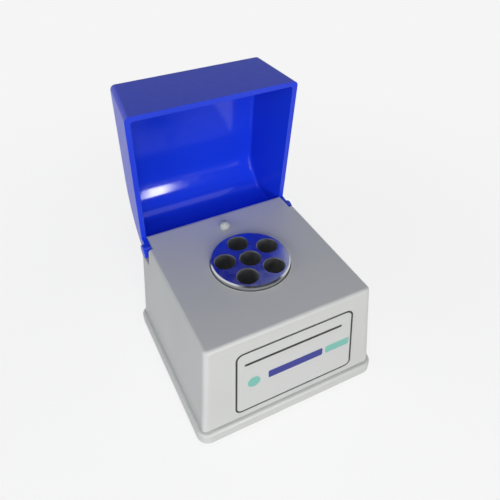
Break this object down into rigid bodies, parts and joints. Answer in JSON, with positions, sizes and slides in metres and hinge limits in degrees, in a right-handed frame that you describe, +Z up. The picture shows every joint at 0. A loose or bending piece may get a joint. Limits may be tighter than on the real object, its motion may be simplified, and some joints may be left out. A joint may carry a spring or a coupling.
{
  "type": "mini incubator",
  "caption": "Small bench incubator: drafted grey housing on a plinth, heated aluminium block with vial wells, indicator light and a blue hinged lid standing open.",
  "frame": {"origin": "centre of the base tray's underside; the rubber feet stand 1.2 mm below it", "axes": "+Z up, +X to the right of somebody facing the label, +Y towards the hinge at the rear; the lid stands open at rest"},
  "size_m": [0.1182, 0.1453, 0.1596],
  "materials": {
    "housing_plastic": "moulded, fine satin texture",
    "tray_plastic": "moulded, fine satin texture",
    "lid_plastic": "moulded, glossy blue",
    "block_metal": "turned and polished",
    "clamp_metal": "plain sheet",
    "gasket_rubber": "silicone sheet",
    "sleeve_foam": "closed cell foam",
    "foot_rubber": "moulded",
    "screw_steel": "zinc plated",
    "pin_steel": "turned",
    "heater_film": "polyimide film heater",
    "thermostat_case": "phenolic case",
    "board_laminate": "solder masked laminate",
    "relay_case": "moulded case",
    "capacitor_can": "sleeved can",
    "regulator_case": "moulded case",
    "terminal_case": "moulded case",
    "lens_plastic": "translucent white",
    "lamp_plastic": "clear epoxy",
    "inlet_plastic": "moulded",
    "label_film": "printed film"
  },
  "bodies": {
    "base": {"housing": "housing_plastic", "base_tray": "tray_plastic", "heater_block": "block_metal", "well_floor": "block_metal", "heater_clamp": "clamp_metal", "block_gasket": "gasket_rubber", "insulation_sleeve": "sleeve_foam", "rubber_feet": "foot_rubber", "base_screws": "screw_steel", "block_screws": "screw_steel", "board_screws": "screw_steel", "clamp_screws": "screw_steel", "hinge_pin_left": "pin_steel", "hinge_pin_right": "pin_steel", "heater_disc": "heater_film", "thermostat": "thermostat_case", "control_board": "board_laminate", "relay": "relay_case", "capacitor": "capacitor_can", "regulator": "regulator_case", "terminal_block": "terminal_case", "led_lens": "lens_plastic", "led_lamp": "lamp_plastic", "power_inlet": "inlet_plastic", "inlet_nut": "screw_steel", "front_label": "label_film"},
    "lid": {"lid": "lid_plastic"}
  },
  "joints": [
    {"name": "lid_hinge", "type": "hinge", "parent": "base", "child": "lid", "pos_m": [0, 0.04514, 0.0668], "axis": [1, 0, 0], "range_deg": [0, 83.2]}
  ]
}
